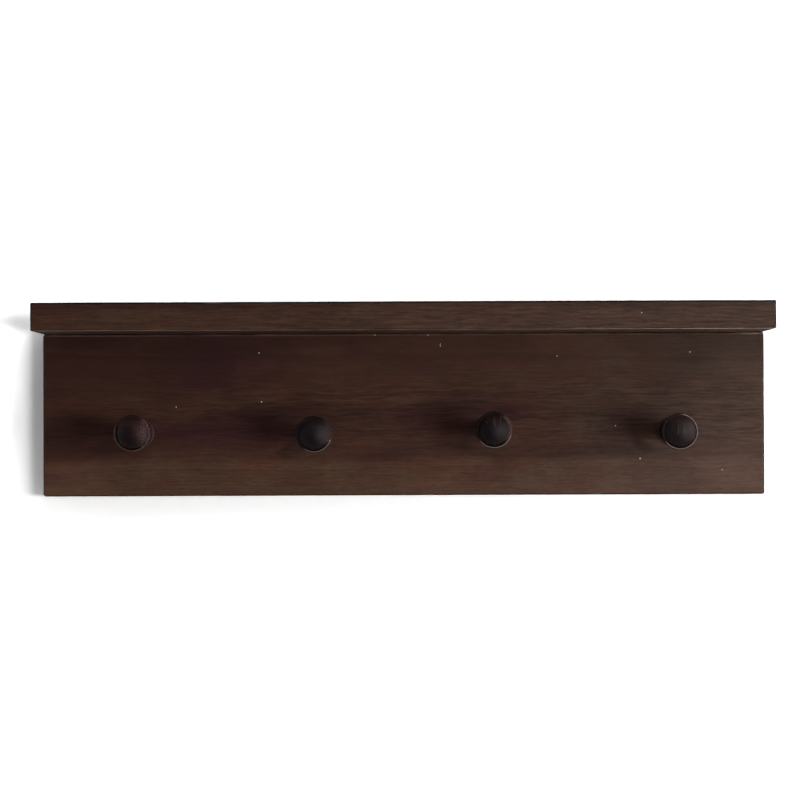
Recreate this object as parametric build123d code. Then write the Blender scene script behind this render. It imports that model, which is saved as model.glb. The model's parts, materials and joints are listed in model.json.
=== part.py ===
from build123d import *
import os
from itertools import cycle
from math import atan2, cos, pi, radians, sin, tan

# Shaker peg rail with a shelf, in millimetres.
# The front faces -Y and the wall is the plane y = 0. +X is to the right as one faces the rail, +Z is up.
# The origin is on the wall plane, midway between the centres of the two keyholes' round entries.

# Boards
BOARD_LENGTH = 508.0  # rail and shelf are cut to one length, so their ends are flush
RAIL_HEIGHT = 114.3
RAIL_THICKNESS = 19.0
RAIL_EASE = 2.4  # radius on every arris of the rail
SHELF_DEPTH = 89.0
SHELF_THICKNESS = 19.5
SHELF_EASE = 1.3

# Turned pegs, each on an axis square to the rail's face
PEG_COUNT = 4
PEG_END_INSET = 66.5  # from the rail's end to the first peg's axis
PEG_HEIGHT = 44.5  # from the rail's lower edge to the row of pegs
PEG_SCATTER = [(2.0, 0.0), (1.2, -1.3), (-0.7, 1.4), (1.2, -0.2)]  # of the hand-drilled bores, along X and Z
PEG_PROJECTION = 69.8  # from the rail's face to the top of the dome
TENON_DIAMETER = 12.7
TENON_CHAMFER = 1.0
WEB_BEHIND_PEG = 4.0  # wood left between a peg's bore and the wall
GLUE_GAP = 0.1  # round the tenon
BORE_END_GAP = 1.0  # past the tenon's end
SHOULDER_DIAMETER = 20.0
SHOULDER_LAND = 1.8  # length of the shoulder, whose front half is rounded over
SHOULDER_STEP = 0.7  # from the rounding in to the foot of the stem
NECK_DIAMETER = 10.6
NECK_TO_RIM = 12.5  # along the axis, from the narrowest place to the head's rim
RIM_DIAMETER = 25.2
RIM_BEAD = 1.2  # radius of the rounded rim
RIM_GROOVE = 0.4  # depth of the groove between the rim and the dome
RIM_STEP = 1.9  # from the rim's outside in to the foot of the dome
DOME_RISE = 6.8

# Screws that hold the shelf down on the rail, and the plugs over them
SHELF_SCREW_COUNT = 4
SHELF_SCREW_INSET = 25.0  # from the shelf's end to the first screw
SHELF_SCREW_LENGTH = 38.0
SHELF_SCREW_DIAMETER = 4.2
SHELF_SCREW_HEAD = 8.2
PLUG_DIAMETER = 9.5
PLUG_DEPTH = 6.0
PLUG_CHAMFER = 0.5
PLUG_GAP = 0.05  # round the plug, and between it and the screw's head

# Keyhole hanger plates, let in flush in the rail's back
HANGER_INSET = 50.8  # from the rail's end to the keyhole
HANGER_DROP = 44.0  # from the rail's top edge to the centre of the keyhole's round entry
PLATE_LENGTH = 44.5
PLATE_WIDTH = 15.9
PLATE_THICKNESS = 1.8
PLATE_GAP = 0.15  # round the plate in its recess
KEYHOLE_ENTRY_DIAMETER = 9.5
KEYHOLE_SLOT_WIDTH = 5.0
KEYHOLE_TRAVEL = 11.0  # from the entry's centre up to the centre of the slot's round end
POCKET_MARGIN = 1.0  # room round the wall screw's head in the wood behind the plate
POCKET_DEPTH = 8.0  # behind the plate
HANGER_SCREW_LENGTH = 12.7
HANGER_SCREW_DIAMETER = 3.5
HANGER_SCREW_HEAD = 6.6
HANGER_SCREW_END = 5.2  # from the plate's end to its screw

# What both kinds of screw share
COUNTERSINK_ANGLE = 82.0
HEAD_LAND = 0.35  # height of the head's rim above its cone
THREAD_PITCH = 2.3
THREAD_ROOT = 0.70  # root diameter over outer diameter
THREAD_FLANK = 0.25  # length of a ridge's side over the pitch
THREADED_SHARE = 0.62  # of the screw's length
POINT_LENGTH = 4.0
RECESS_SPAN = 0.56  # the cross recess: its span, bar and depth over the head's diameter
RECESS_BAR = 0.13
RECESS_DEPTH = 0.22
SCREW_GAP = 0.05  # round the thread and shank in the wood
TIP_GAP = 1.0  # past the screw's point

# Places worked out from the sizes above
RAIL_TOP = HANGER_DROP
RAIL_BOTTOM = RAIL_TOP - RAIL_HEIGHT
RAIL_FACE = -RAIL_THICKNESS
SHELF_TOP = RAIL_TOP + SHELF_THICKNESS
SCREW_LINE = -RAIL_THICKNESS / 2
PEG_ROW = RAIL_BOTTOM + PEG_HEIGHT
BORE_DEPTH = RAIL_THICKNESS - WEB_BEHIND_PEG
TENON_LENGTH = BORE_DEPTH - BORE_END_GAP
PLATE_CENTRE = KEYHOLE_TRAVEL / 2
HANGER_X = BOARD_LENGTH / 2 - HANGER_INSET
HANGER_SCREW_OFFSET = PLATE_LENGTH / 2 - HANGER_SCREW_END


def spread(count, inset):
    """X places of a row that is even along the boards and starts an inset from each end."""
    step = (BOARD_LENGTH - 2 * inset) / max(count - 1, 1)
    return [inset - BOARD_LENGTH / 2 + i * step for i in range(count)]


def peg_place(x, scatter):
    """Where a peg's axis leaves the rail's face, from its even place and its bore's scatter."""
    return Pos(x + scatter[0], RAIL_FACE, PEG_ROW + scatter[1])


def peg_places():
    """Every peg's place, from the left."""
    evenly = spread(PEG_COUNT, PEG_END_INSET)
    return [peg_place(x, scatter) for x, scatter in zip(evenly, cycle(PEG_SCATTER))]


def turned(outline):
    """A solid of revolution about Z from a closed outline in the XZ plane."""
    return revolve(make_face(outline), Axis.Z)


def point(radius, height):
    return (radius, 0, height)


def out_of_back(solid):
    """Turns a solid made along +Z so that its +Z points out of the back, along +Y."""
    return Rot(-90, 0, 0) * solid


def out_of_front(solid):
    """Turns a solid made along +Z so that its +Z points out of the front, along -Y."""
    return Rot(90, 0, 0) * solid


def stadium(length, width, depth):
    """A bar with round ends, long in Z, with its back face on y = 0 and its depth towards -Y."""
    outline = SlotOverall(length, width, rotation=90)
    return Rot(90, 0, 0) * extrude(outline, depth)


def eased_board(length, depth, height, ease):
    """A board with its back on y = 0 and its foot on z = 0, and the same radius on every arris."""
    board = Pos(0, -depth / 2, height / 2) * Box(length, depth, height)
    return fillet(board.edges(), ease)


def head_cone_height(diameter, head):
    return (head - diameter) / 2 / tan(radians(COUNTERSINK_ANGLE / 2))


def wood_screw(length, diameter, head):
    """A countersunk wood screw along -Z, with the top of its head on z = 0.

    The thread is a row of ring ridges of the real pitch, and ends in a point.
    """
    shank, core, rim = diameter / 2, diameter / 2 * THREAD_ROOT, head / 2
    cone_end = -HEAD_LAND - head_cone_height(diameter, head)
    thread_end = POINT_LENGTH - length
    ridges = max(int((thread_end + length * THREADED_SHARE) / THREAD_PITCH), 2)
    points = [point(0, 0), point(rim, 0), point(rim, -HEAD_LAND), point(shank, cone_end)]
    thread_start = thread_end + ridges * THREAD_PITCH
    flank = THREAD_PITCH * THREAD_FLANK
    points += [point(shank, thread_start), point(core, thread_start - flank)]
    for i in range(1, ridges):
        ridge = thread_start - i * THREAD_PITCH
        points += [point(core, ridge + flank), point(shank, ridge), point(core, ridge - flank)]
    points += [point(core, thread_end), point(0, -length)]
    screw = turned(Polyline(*points, close=True))
    bar = Box(head * RECESS_SPAN, head * RECESS_BAR, 2 * head * RECESS_DEPTH)
    return screw - bar - Rot(0, 0, 90) * bar


def screw_hole(length, diameter, head):
    """The hole that a wood_screw of the same sizes needs: countersink, shank and point, with clearance."""
    bore, rim = diameter / 2 + SCREW_GAP, head / 2 + SCREW_GAP
    cone_end = -HEAD_LAND - head_cone_height(diameter, head)
    end = -length - TIP_GAP
    points = [
        point(0, HEAD_LAND),
        point(rim, HEAD_LAND),
        point(rim, -HEAD_LAND),
        point(bore, cone_end),
        point(bore, end + POINT_LENGTH / 2),
        point(0, end),
    ]
    return turned(Polyline(*points, close=True))


def peg():
    """A turned peg along +Z: tenon below z = 0, shoulder on z = 0, then stem, neck, beaded rim and dome."""
    tenon, shoulder, neck = TENON_DIAMETER / 2, SHOULDER_DIAMETER / 2, NECK_DIAMETER / 2
    rounding = SHOULDER_LAND / 2
    stem_foot = shoulder - rounding - SHOULDER_STEP
    rim, dome = RIM_DIAMETER / 2, RIM_DIAMETER / 2 - RIM_STEP
    bead_centre = rim - RIM_BEAD
    dome_foot = PEG_PROJECTION - DOME_RISE
    rim_height = dome_foot + RIM_GROOVE - RIM_BEAD
    neck_height = rim_height - NECK_TO_RIM
    dome_radius = (dome**2 + DOME_RISE**2) / (2 * DOME_RISE)
    dome_centre = PEG_PROJECTION - dome_radius
    dome_start = atan2(dome_foot - dome_centre, dome)
    dome_middle = (dome_start + pi / 2) / 2

    foot = Polyline(
        point(0, 0),
        point(0, -TENON_LENGTH),
        point(tenon - TENON_CHAMFER, -TENON_LENGTH),
        point(tenon, TENON_CHAMFER - TENON_LENGTH),
        point(tenon, 0),
        point(shoulder, 0),
        point(shoulder, rounding),
    )
    round_over = ThreePointArc(
        foot @ 1,
        point(shoulder - rounding * (1 - cos(pi / 4)), rounding * (1 + sin(pi / 4))),
        point(shoulder - rounding, SHOULDER_LAND),
    )
    step = Line(round_over @ 1, point(stem_foot, SHOULDER_LAND))
    stem = Spline(
        step @ 1,
        point(neck, neck_height),
        tangents=[(-0.28, 0, 1), (0, 0, 1)],
        tangent_scalars=[0.8, 0.5],
    )
    bead_back = point(bead_centre + RIM_BEAD * cos(pi / 3), rim_height - RIM_BEAD * sin(pi / 3))
    cove = Spline(stem @ 1, bead_back, tangents=[(0, 0, 1), (1, 0, 0.45)])
    bead = ThreePointArc(bead_back, point(rim, rim_height), point(bead_centre, rim_height + RIM_BEAD))
    groove = Line(bead @ 1, point(dome, dome_foot))
    cap = ThreePointArc(
        groove @ 1,
        point(dome_radius * cos(dome_middle), dome_centre + dome_radius * sin(dome_middle)),
        point(0, PEG_PROJECTION),
    )
    axis = Line(cap @ 1, foot @ 0)
    return turned([foot, round_over, step, stem, cove, bead, groove, cap, axis])


def keyhole(depth):
    """A keyhole cutter whose mouth is on y = 0: a round entry at the origin and a slot up from it."""
    entry = Cylinder(KEYHOLE_ENTRY_DIAMETER / 2, depth, align=(Align.CENTER, Align.CENTER, Align.MIN))
    slot = stadium(KEYHOLE_TRAVEL + KEYHOLE_SLOT_WIDTH, KEYHOLE_SLOT_WIDTH, depth)
    return out_of_front(entry) + Pos(0, 0, PLATE_CENTRE) * slot


def plate_screw_places():
    """Heights of a plate's two screws."""
    return {"lower": PLATE_CENTRE - HANGER_SCREW_OFFSET, "upper": PLATE_CENTRE + HANGER_SCREW_OFFSET}


def keyhole_plate():
    """A keyhole plate at x = 0: a bar with round ends, its keyhole and two countersunk screw holes."""
    plate = Pos(0, 0, PLATE_CENTRE) * stadium(PLATE_LENGTH, PLATE_WIDTH, PLATE_THICKNESS)
    plate -= keyhole(PLATE_THICKNESS)
    hole = out_of_back(screw_hole(HANGER_SCREW_LENGTH, HANGER_SCREW_DIAMETER, HANGER_SCREW_HEAD))
    for height in plate_screw_places().values():
        plate -= Pos(0, 0, height) * hole
    return plate


def hanger_recess():
    """What is cut from the rail for one plate at x = 0: its recess, the pocket behind it and the screw holes."""
    recess = Pos(0, 0, PLATE_CENTRE) * stadium(
        PLATE_LENGTH + 2 * PLATE_GAP, PLATE_WIDTH + 2 * PLATE_GAP, PLATE_THICKNESS
    )
    room = KEYHOLE_ENTRY_DIAMETER + 2 * POCKET_MARGIN
    pocket = stadium(KEYHOLE_TRAVEL + room, room, PLATE_THICKNESS + POCKET_DEPTH)
    cut = recess + Pos(0, 0, PLATE_CENTRE) * pocket
    hole = out_of_back(screw_hole(HANGER_SCREW_LENGTH, HANGER_SCREW_DIAMETER, HANGER_SCREW_HEAD))
    for height in plate_screw_places().values():
        cut += Pos(0, 0, height) * hole
    return cut


def shelf_screw_place(x):
    """The top of a shelf screw's head, at the bottom of its plug's bore."""
    return Pos(x, SCREW_LINE, SHELF_TOP - PLUG_DEPTH)


def back_board(pegs, screws, hangers):
    board = Pos(0, 0, RAIL_BOTTOM) * eased_board(BOARD_LENGTH, RAIL_THICKNESS, RAIL_HEIGHT, RAIL_EASE)
    bore = Cylinder(TENON_DIAMETER / 2 + GLUE_GAP, BORE_DEPTH, align=(Align.CENTER, Align.CENTER, Align.MAX))
    for place in pegs:
        board -= place * out_of_front(bore)
    hole = screw_hole(SHELF_SCREW_LENGTH, SHELF_SCREW_DIAMETER, SHELF_SCREW_HEAD)
    for x in screws:
        board -= shelf_screw_place(x) * hole
    for x in hangers:
        board -= Pos(x, 0, 0) * hanger_recess()
    return board


def shelf_board(screws):
    board = Pos(0, 0, RAIL_TOP) * eased_board(BOARD_LENGTH, SHELF_DEPTH, SHELF_THICKNESS, SHELF_EASE)
    hole = screw_hole(SHELF_SCREW_LENGTH, SHELF_SCREW_DIAMETER, SHELF_SCREW_HEAD)
    plug_bore = Cylinder(PLUG_DIAMETER / 2, PLUG_DEPTH, align=(Align.CENTER, Align.CENTER, Align.MIN))
    for x in screws:
        board -= shelf_screw_place(x) * (hole + plug_bore)
    return board


def shelf_plug():
    """A wood plug with its foot on z = 0, chamfered there, and its top flush with the shelf's."""
    radius = PLUG_DIAMETER / 2 - PLUG_GAP
    points = [
        point(0, PLUG_GAP),
        point(radius - PLUG_CHAMFER, PLUG_GAP),
        point(radius, PLUG_GAP + PLUG_CHAMFER),
        point(radius, PLUG_DEPTH),
        point(0, PLUG_DEPTH),
    ]
    return turned(Polyline(*points, close=True))


def build():
    """Every piece by its name, in its place."""
    pegs = peg_places()
    screws = spread(SHELF_SCREW_COUNT, SHELF_SCREW_INSET)
    hangers = {"left": -HANGER_X, "right": HANGER_X}
    pieces = {
        "back_board": back_board(pegs, screws, hangers.values()),
        "shelf_board": shelf_board(screws),
    }
    for i, place in enumerate(pegs, 1):
        pieces[f"peg_{i}"] = place * out_of_front(peg())
    for i, x in enumerate(screws, 1):
        screw = wood_screw(SHELF_SCREW_LENGTH, SHELF_SCREW_DIAMETER, SHELF_SCREW_HEAD)
        pieces[f"shelf_screw_{i}"] = shelf_screw_place(x) * screw
        pieces[f"shelf_plug_{i}"] = shelf_screw_place(x) * shelf_plug()
    for side, x in hangers.items():
        pieces[f"keyhole_plate_{side}"] = Pos(x, 0, 0) * keyhole_plate()
        for end, height in plate_screw_places().items():
            screw = wood_screw(HANGER_SCREW_LENGTH, HANGER_SCREW_DIAMETER, HANGER_SCREW_HEAD)
            pieces[f"hanger_screw_{side}_{end}"] = Pos(x, 0, height) * out_of_back(screw)
    return pieces


os.makedirs("parts", exist_ok=True)
for name, piece in build().items():
    export_step(piece, f"parts/{name}.step")
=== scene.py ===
"""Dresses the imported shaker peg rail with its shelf, and sets the stage around it.

Lengths are metres in the part's own frame: the wall is the plane y = 0, the front faces -Y and +Z is up.
New pieces are numpy surfaces. Finishes are node materials on Object coordinates, worked out in millimetres.
"""

import json

import bmesh
import bpy
import numpy as np
from bpy.props import FloatProperty, FloatVectorProperty, PointerProperty
from bpy.types import Operator, Panel, PropertyGroup
from mathutils import Euler, Matrix, Vector

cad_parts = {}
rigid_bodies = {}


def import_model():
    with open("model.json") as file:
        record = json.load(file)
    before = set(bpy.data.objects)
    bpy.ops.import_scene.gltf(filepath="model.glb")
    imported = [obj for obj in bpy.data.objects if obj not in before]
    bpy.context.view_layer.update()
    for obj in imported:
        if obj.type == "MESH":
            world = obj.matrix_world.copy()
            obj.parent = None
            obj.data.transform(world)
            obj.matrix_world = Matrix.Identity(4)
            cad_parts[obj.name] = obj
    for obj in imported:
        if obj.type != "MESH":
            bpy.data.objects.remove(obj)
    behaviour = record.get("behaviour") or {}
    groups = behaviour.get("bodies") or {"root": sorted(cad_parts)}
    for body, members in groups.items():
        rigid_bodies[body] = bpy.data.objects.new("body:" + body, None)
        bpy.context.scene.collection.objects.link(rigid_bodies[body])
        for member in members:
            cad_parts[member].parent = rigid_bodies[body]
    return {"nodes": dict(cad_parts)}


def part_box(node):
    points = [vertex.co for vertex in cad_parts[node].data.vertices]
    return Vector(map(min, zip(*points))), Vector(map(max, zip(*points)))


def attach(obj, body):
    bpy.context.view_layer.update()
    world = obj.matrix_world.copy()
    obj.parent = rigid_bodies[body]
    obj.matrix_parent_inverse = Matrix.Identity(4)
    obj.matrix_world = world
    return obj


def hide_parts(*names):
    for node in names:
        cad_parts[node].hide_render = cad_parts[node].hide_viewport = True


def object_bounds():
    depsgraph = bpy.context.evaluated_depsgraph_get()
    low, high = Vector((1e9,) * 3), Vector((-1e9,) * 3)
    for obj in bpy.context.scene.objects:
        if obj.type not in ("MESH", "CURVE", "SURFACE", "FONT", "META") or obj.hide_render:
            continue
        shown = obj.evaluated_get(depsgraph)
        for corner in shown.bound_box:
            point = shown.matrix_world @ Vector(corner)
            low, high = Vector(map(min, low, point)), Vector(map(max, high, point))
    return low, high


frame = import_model()
CAD_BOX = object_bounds()

bl_info = {
    "name": "Shaker Peg Rail",
    "version": (1, 0, 0),
    "blender": (4, 5, 0),
    "location": "View3D > Sidebar > Peg Rail",
    "description": "Shapes and finishes a stained peg rail with a shelf, and lights it on a pale wall",
    "category": "Add Mesh",
}

MM = 0.001
ARRIS_STEPS = 5  # grid steps from a flat to the middle of its rounded arris
WAVES = 16  # sine waves in an uneven value
TURNED_STEPS, BORE_STEPS, HOLE_STEPS, PILOT_STEPS = 112, 64, 48, 32  # points round a peg and round each kind of hole
BOARD_CREASE, PEG_CREASE = 40, 50  # degrees: an edge that turns by more looks sharp
PEGS = ("peg_1", "peg_2", "peg_3", "peg_4")
PLUGS = ("shelf_plug_1", "shelf_plug_2", "shelf_plug_3", "shelf_plug_4")
PLATES = ("keyhole_plate_left", "keyhole_plate_right")
SCREWS = tuple(n for n in frame["nodes"] if "screw" in n)

# What is cut out of the boards, in mm: the pegs' bores, the plugs' bores with the screw holes below them, the recess
# and the pocket behind each plate, and the pilot holes of its screws. The holes are radii and heights along +Z.
PEG_BORE = ((0, -15), (6.45, -15), (6.45, 1), (0, 1))
PLUG_BORE = ((0, -39), (2.15, -37), (2.15, -2.65), (4.15, -0.35), (4.15, 0), (4.75, 0), (4.75, 7), (0, 7))
PLUG_GAP = 0.05  # from the bottom of the bore to the plug
PLATE_RECESSES = ((44.8, 16.2, 1.8), (22.5, 11.5, 9.8))  # length, width, depth
PILOT_HOLE = ((0, -13.7), (1.8, -11.7), (1.8, 1), (0, 1))
PILOT_OFFSET = 17.05  # up and down from the plate's middle

# The pegs' turned details that aren't among their settings, in metres
TENON_LENGTH, TENON_CHAMFER = 14 * MM, 1 * MM
SHOULDER_LAND, SHOULDER_ROUND, SHOULDER_STEP, SHOULDER_CREASE = 1.8 * MM, 0.9 * MM, 0.7 * MM, 0.1 * MM
RIM_STEP, RIM_BEAD, RIM_GROOVE, NECK_TO_RIM = 1.9 * MM, 1.2 * MM, 0.4 * MM, 12.5 * MM
LATHE_MARKS = 0.07 * MM
FIRST_LATHE_MARK = 8  # the first point of the outline that the lathe left uneven, on the shoulder's rounding

# Places along Y, in mm, between which a peg's head begins, and those between which its rim does
HEAD_BACK, HEAD_FRONT, RIM_BACK, RIM_FRONT = -78.0, -80.5, -80.8, -81.2

# The stage, in metres: the wall's left, foot, right and head, its y, how far its opening lies inside the part's
# outline, the radius of the sweep into the floor, and how far the floor comes forward
WALL = (-4, -0.8, 4, 3)
WALL_Y, WALL_INSET, SWEEP, FLOOR_FRONT = 0.2 * MM, 0.4 * MM, 0.5, -5

# Colours of small marks
# FLECK is a pale fleck in the finish; the other is the colour of a painted glint spot on a peg's rim
FLECK, GLINT_SPOT = (0.62, 0.55, 0.5, 1), (0.45, 0.39, 0.35, 1)
ROOM, WHITE = (1, 0.98, 0.97, 1), (1, 1, 1, 1)

# Places on the rail's face and the shelf's front, in mm, where the finish has a pale fleck: x, z, radius
FLECKS = (
    (-160.1, -7.5, 0.45), (-101.7, 30.4, 0.5), (-100.1, -4.0, 0.5), (-20.0, 42.6, 0.4), (17.4, 42.5, 0.45),
    (26.0, 36.2, 0.4), (26.1, 34.9, 0.4), (108.3, 27.4, 0.4), (201.9, 30.0, 0.45), (149.1, -21.8, 0.4),
    (166.4, -44.9, 0.5), (224.2, -53.0, 0.45), (162.3, 55.0, 0.4),
)

# Lighter and darker streaks of a board, by height in mm: z, half width, strength
RAIL_BANDS = (
    (-62, 22, 0.42), (34, 14, -0.12), (6, 7, 0.05), (-34, 4, -0.06), (-9.5, 0.9, -0.12), (1.0, 0.8, -0.10),
    (-41, 0.8, -0.08),
)
SHELF_BANDS = ((54, 60, -0.10), (61.5, 3.0, -0.16), (53.5, 5, 0.06), (47, 3, 0.04))

# Blotches in the stain, in mm from the middle: x, z, half length, half height, strength, how plum-coloured
# On the rail, the dark plum blotches beside and below the pegs are painted shadows of the pegs, the large dark one at
# the top left is painted shade, and the pale one at the right end is painted light; the rest are the stain's own.
RAIL_BLOTCHES_AND_SHADOWS = (
    (-205, 26, 85, 32, -0.28, 0.45), (-122, 26, 44, 26, -0.02, 0.7), (-215, -27, 52, 16, -0.32, 0.6),
    (-112, -25, 58, 14, -0.26, 0.85), (-88, -11, 34, 8, -0.3, 0.5), (-20, -18, 48, 12, -0.2, 0.15),
    (42, -12, 44, 13, -0.16, 0.7), (40, -30, 22, 12, -0.22, 0.1), (166, -22, 28, 14, -0.02, 0.75),
    (-134, -50, 26, 6, -0.14, 0), (-98, 8, 34, 8, 0.06, 0), (104, 37, 26, 7, 0.14, 0), (238, -18, 40, 50, 0.28, 0),
    (-235, 39, 45, 6, -0.2, 0.2), (-64, 39, 40, 6, -0.18, 0.2), (142, -40, 34, 6, -0.24, 0.3),
    (-191, -33, 11, 6, -0.3, 0.1), (-65, -34, 13, 7, -0.38, 0.15), (49, -34, 14, 6, -0.24, 0.15),
    (181, -34, 12, 6, -0.42, 0.15), (55, -50, 16, 8, 0.25, 0), (-115, 20, 20, 8, 0.18, 0),
    (-250, -22, 12, 10, 0.22, 0), (20, -16, 44, 8, 0.14, 0),
)
SHELF_BLOTCHES = (
    (-225, 60, 40, 6, -0.08, 0.4), (-150, 61, 46, 4, -0.26, 0.2), (12, 48, 40, 5, 0.16, 0.0),
    (-130, 52, 46, 8, -0.14, 0.0), (228, 54, 24, 14, 0.20, 0.0),
)

# The painted highlight along the front arris of a board: its z and half width in mm, and its strength at places along X
RAIL_GLINT = (42.95, 0.85, ((-260, 0.24), (0, 0.26), (232, 0.20), (250, 0.55)))
SHELF_GLINT = (43.7, 0.85, ((-260, 1.0), (-120, 0.85), (60, 0.9), (245, 1.3)))

# How each board's stain lies. The pith is the y and z of the line, in mm, that the growth rings lie about. Waver is
# how much the bands and blotches follow the grain, clear is how clear the grain is above and below, and busy is the
# height with most dashes. Lean is how far the stain leans to brown. From one x to another, by a strength, the stain
# is drawn paler and greyer as a painted sheen of the light from the right. The last is how dark the front's top
# edge is drawn, a painted shade.
RAIL_MARKS = {
    "pith": (62, -210), "seed": 3, "waver": 1.0, "clear": (0.38, 0.75), "busy": -12, "lean": 0.0,
    "sheen_ramp": (60, 250, 0.85), "bands": RAIL_BANDS, "blotches": RAIL_BLOTCHES_AND_SHADOWS, "wear": RAIL_GLINT, "crest_shade": 0.0,
}
SHELF_MARKS = {
    "pith": (-30, 260), "seed": 8, "waver": 0.3, "clear": (0.85, 0.85), "busy": 54, "lean": 0.40,
    "sheen_ramp": (-290, 290, 0.75), "bands": SHELF_BANDS, "blotches": SHELF_BLOTCHES, "wear": SHELF_GLINT, "crest_shade": 1.0,
}
PLUG_TURNS = (7, -11, 4, -6)  # degrees from the plugs' grain to the shelf's

# How each peg is marked. The stain, the sheen and the lighter top multiply the pegs' own colours. The sheen is a
# painted sheen on the right of the dome, centred on its place, x and z in mm from the axis. Then come three
# strengths: of the mottled painted highlight on the right of the dome, of the painted shade on the rim's top, and
# of the painted highlight on the rim's right side. The lighter top is painted light on the dome above its z in mm,
# with its colour. The pale streaks, drawn as painted glints, have a lowest and highest z in mm and a strength, and
# the painted glint along the rim a radius in mm, a direction and a half width in degrees from +X, and a strength.
# The painted glint spots are x, z and radius in mm.
PEG_MARKS = (
    {"stain": (1.25, 1.05, 1.15), "sheen": (0.82, 0.78, 0.80), "sheen_at": (8.0, 2.2), "mottled_sheen": 1.0, "cap": 0.0,
     "side": 0.4, "lit_top": (5.5, (2.3, 2.2, 2.3)), "scratch_glints": (1.0, 6.0, 0.1), "rim": (12.0, 240, 76, 0.34),
     "glint_spots": ()},
    {"stain": (0.95, 1.35, 1.55), "sheen": (0.9, 1.15, 1.2), "sheen_at": (8.7, 0.2), "mottled_sheen": 0.08, "cap": 1.0,
     "side": 0.35, "lit_top": (6.5, (1.1, 1.6, 2.0)), "scratch_glints": (1.0, 6.0, 0.1), "rim": (11.8, 290, 52, 0.7),
     "glint_spots": ((11.0, -4.4, 0.42),)},
    {"stain": (0.85, 0.85, 0.9), "sheen": (0.6, 0.85, 0.92), "sheen_at": (5.8, -0.6), "mottled_sheen": 0.08, "cap": 0.3,
     "side": 1.0, "lit_top": (5.0, (1.15, 1.1, 1.1)), "scratch_glints": (3.5, 10.0, 1.0), "rim": (12.05, 280, 60, 0.8),
     "glint_spots": ()},
    {"stain": (1.9, 2.2, 2.1), "sheen": (0.95, 1.2, 1.25), "sheen_at": (6.5, 1.0), "mottled_sheen": 0.15, "cap": 0.2,
     "side": 0.2, "lit_top": (6.5, (2.4, 2.9, 3.2)), "scratch_glints": (-0.5, 5.0, 1.0), "rim": (11.8, 331, 113, 1.0),
     "glint_spots": ()},
)


# ---- shapes


def uneven(points, shortest, longest, seed):
    """A smooth uneven value, mostly from 0 to 1, at each point.

    It is the sum of sine waves whose directions and phases are random and whose lengths are spread from the
    shortest to the longest, scaled about one half.
    """
    chance = np.random.default_rng(seed)
    direction = chance.normal(size=(WAVES, 3))
    direction /= np.linalg.norm(direction, axis=1)[:, None]
    length = np.geomspace(shortest, longest, WAVES)[:, None]
    waves = np.sin(2 * np.pi * points @ (direction / length).T + chance.uniform(0, 2 * np.pi, WAVES))
    return 0.5 + waves.sum(axis=1) / 9


def quads(rows, columns):
    """The quads of a grid whose points are counted row by row."""
    corner = (np.arange(rows - 1)[:, None] * columns + np.arange(columns - 1)).reshape(-1, 1)
    return corner + np.array([0, columns, columns + 1, 1])


def board_lines(half, ease, spacing):
    """Grid lines along one side of a board: even over the flat, and at even angles round each arris.

    A line at the angle a from the flat's end lies the radius times the tangent of a beyond it.
    """
    flat = half - ease
    count = max(int(round(2 * flat / spacing)), 1)
    turn = ease * np.tan(np.linspace(0, np.pi / 4, ARRIS_STEPS + 1))[1:]
    return np.concatenate([-flat - turn[::-1], np.linspace(-flat, flat, count + 1), flat + turn])


def eased_board(low, high, ease, spacing, wear, seed):
    """A board with rounded, slightly worn arrises, from six grids that share their borders.

    Each point of the plain box is moved in to the nearest point of a box that is smaller by the radius all
    round, and from there out again by the radius towards where it was. Then the arrises lose about the wear
    at most, and the flats a fifth of it, by an amount that varies smoothly over the board.
    """
    centre, half = (low + high) / 2, (high - low) / 2
    lines = [board_lines(half[i], ease, spacing[i]) for i in range(3)]
    points, faces, count = [], [], 0
    for axis in range(3):
        across, up = (axis + 1) % 3, (axis + 2) % 3
        u, v = np.meshgrid(lines[across], lines[up], indexing="ij")
        for side in (-1, 1):
            grid = np.empty(u.shape + (3,))
            grid[..., axis], grid[..., across], grid[..., up] = side * half[axis], u, v
            face = quads(*u.shape) + count
            points.append(grid.reshape(-1, 3))
            faces.append(face if side > 0 else face[:, ::-1])
            count += u.size
    points = np.concatenate(points)
    _, first, merged = np.unique(np.round(points / MM, 4), axis=0, return_index=True, return_inverse=True)
    points, faces = points[first], merged.reshape(-1)[np.concatenate(faces)]
    inner = np.clip(points, ease - half, half - ease)
    out = points - inner
    out /= np.linalg.norm(out, axis=1)[:, None]
    bend = (1 - np.abs(out).max(axis=1)) / (1 - np.sqrt(0.5))
    loss = wear * (0.2 * uneven(points, 0.05, 0.4, seed) + bend * uneven(points, 0.006, 0.09, seed + 1) ** 2)
    return centre + inner + out * (ease - np.clip(loss, 0, None))[:, None], faces


def bezier(start, start_pull, end_pull, end, count):
    """Points of the cubic curve with those ends, whose handles are the two pulls away from the ends."""
    t = np.linspace(0, 1, count)[:, None]
    start, end = np.array(start), np.array(end)
    near, far = start + start_pull, end + end_pull
    return (1 - t) ** 3 * start + 3 * (1 - t) ** 2 * t * near + 3 * (1 - t) * t**2 * far + t**3 * end


def arc(centre, radius, start, end, count):
    """Points (radius, height) of an arc between two angles in degrees, counted from the radius axis."""
    angle = np.radians(np.linspace(start, end, count))
    return np.stack([centre[0] + radius * np.cos(angle), centre[1] + radius * np.sin(angle)], axis=1)


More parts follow.
